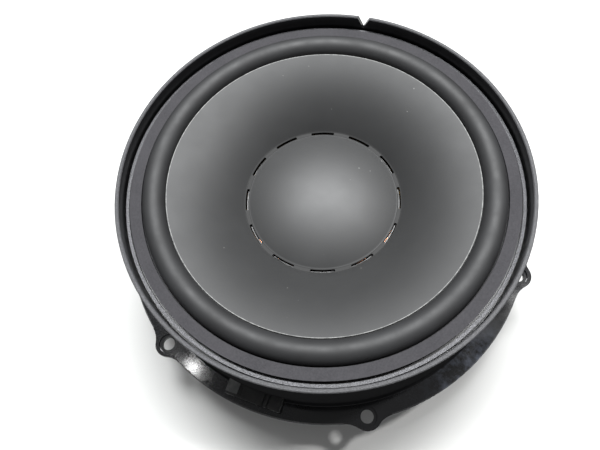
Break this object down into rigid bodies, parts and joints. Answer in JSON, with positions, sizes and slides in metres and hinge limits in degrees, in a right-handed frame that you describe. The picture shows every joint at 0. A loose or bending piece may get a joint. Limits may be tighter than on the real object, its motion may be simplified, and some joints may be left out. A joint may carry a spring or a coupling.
{
  "type": "car subwoofer speaker",
  "caption": "Round car bass driver with a tall collar, eared mounting flange, rubber roll surround, one-piece cone and dome, side connector and a compact pot motor.",
  "frame": {"origin": "centre of the ear-hole circle on the flange's rear face", "axes": "+Z along the driver's axis towards the listener, -Y towards the connector, +X through an ear"},
  "size_m": [0.2286, 0.2192, 0.084],
  "materials": {
    "basket_plastic": "moulded black, satin to glossy",
    "gasket_foam": "closed-cell foam, matt",
    "housing_plastic": "moulded black, matt",
    "contact_brass": "tinned brass",
    "ring_board": "pressed board, matt dark grey",
    "rubber_roll": "moulded rubber, satin",
    "cone_plastic": "filled polypropylene, satin dark grey",
    "former_metal": "plain sheet",
    "coil_wire": "lacquered copper wire",
    "wrap_paper": "varnished paper",
    "tab_copper": "tinned copper",
    "spider_cloth": "resin-dipped cotton",
    "spider_board": "pressed fibre",
    "lead_braid": "tinned copper braid",
    "cup_steel": "black coat on steel",
    "magnet_nickel": "nickel plate",
    "pole_steel": "turned, zinc plate",
    "cap_copper": "bare copper",
    "sleeve_aluminium": "plain",
    "mesh_steel": "woven wire",
    "screw_steel": "zinc plate"
  },
  "bodies": {
    "frame": {"basket": "basket_plastic", "rear_gasket": "gasket_foam", "connector_housing": "housing_plastic", "contact_pos": "contact_brass", "contact_neg": "contact_brass", "clamp_ring": "ring_board", "surround": "rubber_roll", "spider": "spider_cloth", "spider_ring": "spider_board", "lead_pos": "lead_braid", "lead_neg": "lead_braid", "motor_cup": "cup_steel", "magnet": "magnet_nickel", "pole_disc": "pole_steel", "copper_cap": "cap_copper", "centre_sleeve": "sleeve_aluminium", "vent_mesh": "mesh_steel", "motor_screws": "screw_steel"},
    "diaphragm": {"cone": "cone_plastic", "former": "former_metal", "winding": "coil_wire", "coil_collar": "wrap_paper", "lead_tabs": "tab_copper"}
  },
  "joints": [
    {"name": "cone_travel", "type": "slide", "parent": "frame", "child": "diaphragm", "axis": [0, 0, 1], "range_m": [-0.008, 0.008], "stiffness_N_per_m": 3500, "deforming": ["surround", "spider", "lead_pos", "lead_neg"]}
  ]
}
